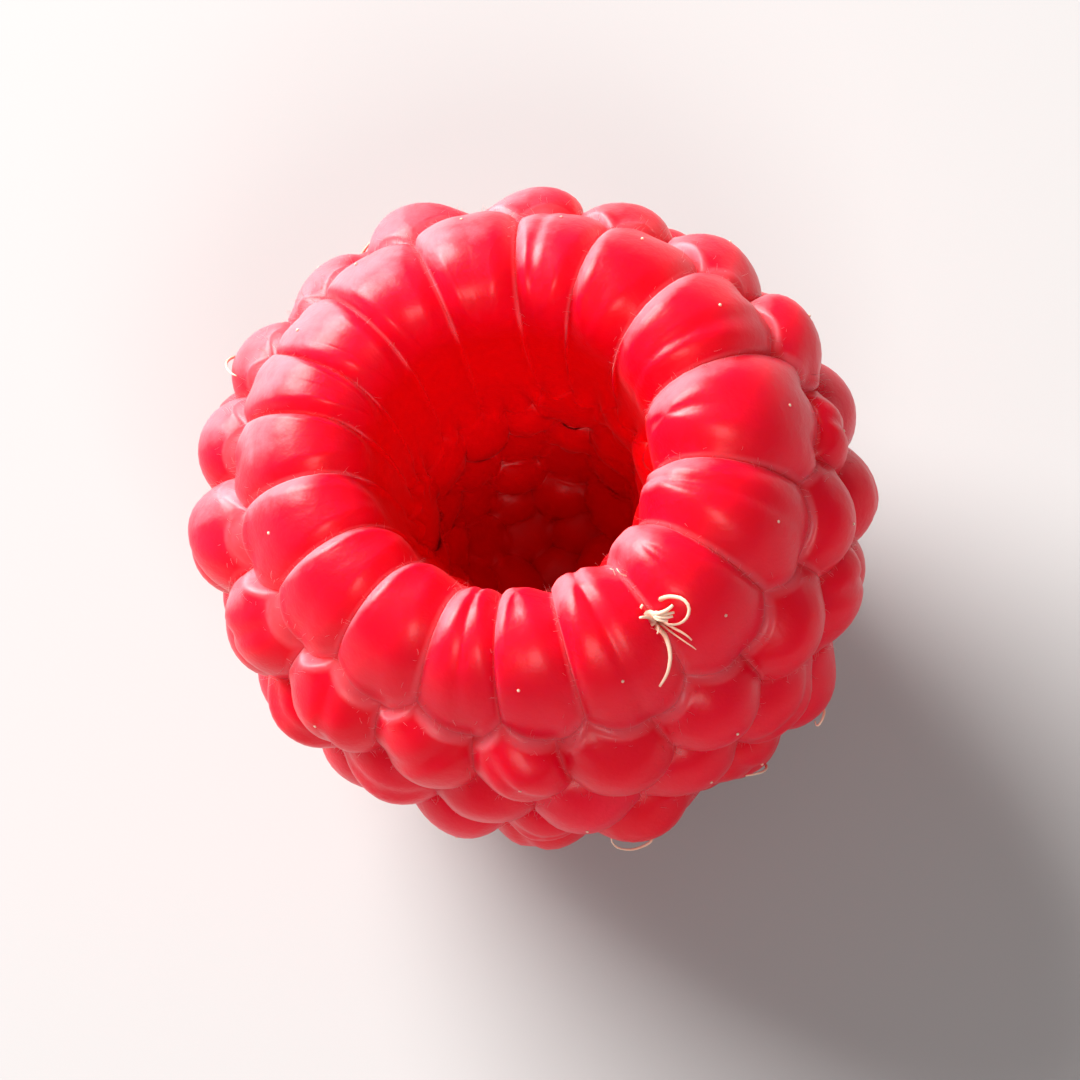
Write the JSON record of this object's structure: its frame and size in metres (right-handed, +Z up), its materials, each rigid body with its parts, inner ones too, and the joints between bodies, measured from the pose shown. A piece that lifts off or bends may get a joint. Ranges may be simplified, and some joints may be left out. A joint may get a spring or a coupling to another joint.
{
  "type": "raspberry",
  "caption": "Ripe red raspberry picked off its core, a rounded cup of plump drupelets standing on its blunt tip with the open hollow upwards.",
  "frame": {"origin": "on the surface that the berry stands on, under the middle of its width and depth", "axes": "+Z up, out of the open hollow; -Y towards the side that the hollow leans away from in the main view"},
  "size_m": [0.0218, 0.0202, 0.019],
  "materials": {
    "drupelet_skin": "ripe red fruit skin, thin, moist and translucent, with soft highlights and a fine pale down",
    "dried_style": "dried thread-like style, tan to rust, matt",
    "fine_down": "short pale pink plant hair, soft and matt"
  },
  "bodies": {
    "root": {"raspberry": "drupelet_skin"}
  },
  "joints": []
}
